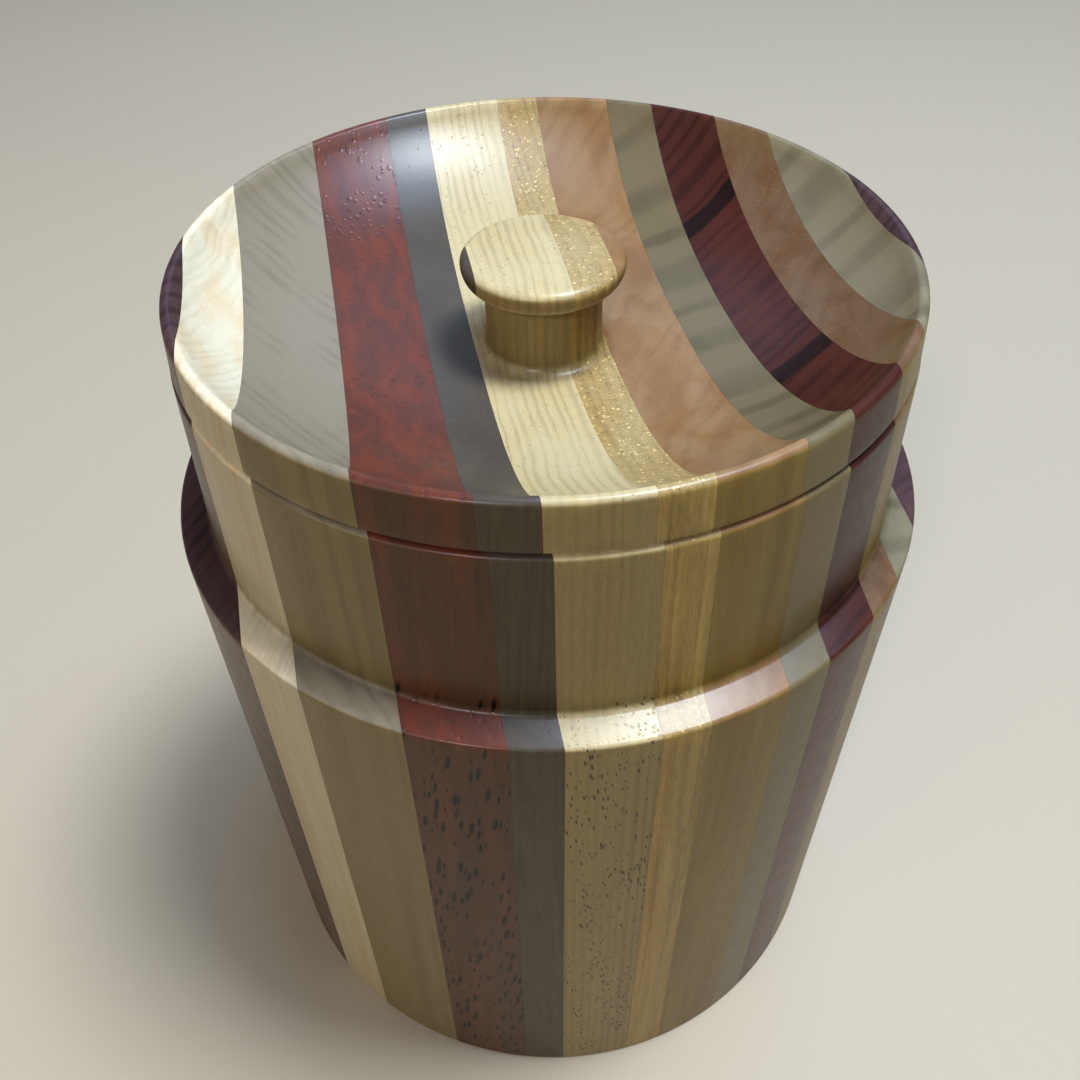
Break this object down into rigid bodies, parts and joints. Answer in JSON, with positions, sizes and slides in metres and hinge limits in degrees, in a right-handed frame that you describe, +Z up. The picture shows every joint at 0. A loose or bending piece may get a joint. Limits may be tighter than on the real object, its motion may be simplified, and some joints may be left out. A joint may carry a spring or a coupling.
{
  "type": "go stone bowl",
  "caption": "Round turned wooden bowl for go stones, laminated from boards of contrasting woods, with a lift-off dished lid and a knob.",
  "frame": {"origin": "centre of the flat base, on the surface the bowl stands on", "axes": "+Z up along the turning axis and out through the knob; -Y is the front; the boards' glue planes stand upright, turned 12.1 degrees about +Z from the YZ plane in the bowl and 10.9 degrees in the lid"},
  "size_m": [0.1122, 0.1122, 0.1372],
  "materials": {
    "rosewood": "dark purple-brown with black bands, clear gloss lacquer",
    "maple": "pale cream, fine figure, clear gloss lacquer",
    "magnolia": "grey-green with faint ring lines, clear gloss lacquer",
    "padauk": "deep red with open dark pores, clear gloss lacquer",
    "walnut": "charcoal grey-brown with fine dark lines, clear gloss lacquer",
    "ash": "light straw with ring lines and pore dots, clear gloss lacquer",
    "mulberry": "golden with a sparkling end grain, clear gloss lacquer",
    "camphor": "orange-tan, soft grain, clear gloss lacquer"
  },
  "bodies": {
    "bowl": {"bowl_strip_01_rosewood": "rosewood", "bowl_strip_02_maple": "maple", "bowl_strip_03_magnolia": "magnolia", "bowl_strip_04_padauk": "padauk", "bowl_strip_05_walnut": "walnut", "bowl_strip_06_ash": "ash", "bowl_strip_07_mulberry": "mulberry", "bowl_strip_08_camphor": "camphor", "bowl_strip_09_magnolia": "magnolia", "bowl_strip_10_rosewood": "rosewood", "bowl_strip_11_camphor": "camphor", "bowl_strip_12_magnolia": "magnolia", "bowl_strip_13_rosewood": "rosewood"},
    "lid": {"lid_strip_01_rosewood": "rosewood", "lid_strip_02_maple": "maple", "lid_strip_03_magnolia": "magnolia", "lid_strip_04_padauk": "padauk", "lid_strip_05_walnut": "walnut", "lid_strip_06_ash": "ash", "lid_strip_07_mulberry": "mulberry", "lid_strip_08_camphor": "camphor", "lid_strip_09_magnolia": "magnolia", "lid_strip_10_rosewood": "rosewood", "lid_strip_11_camphor": "camphor", "lid_strip_12_magnolia": "magnolia", "lid_strip_13_rosewood": "rosewood", "knob_edge_walnut": "walnut", "knob_edge_camphor": "camphor"}
  },
  "joints": [
    {"name": "lid_lift", "type": "slide", "parent": "bowl", "child": "lid", "axis": [0, 0, 1], "range_m": [0, 0.12]}
  ]
}
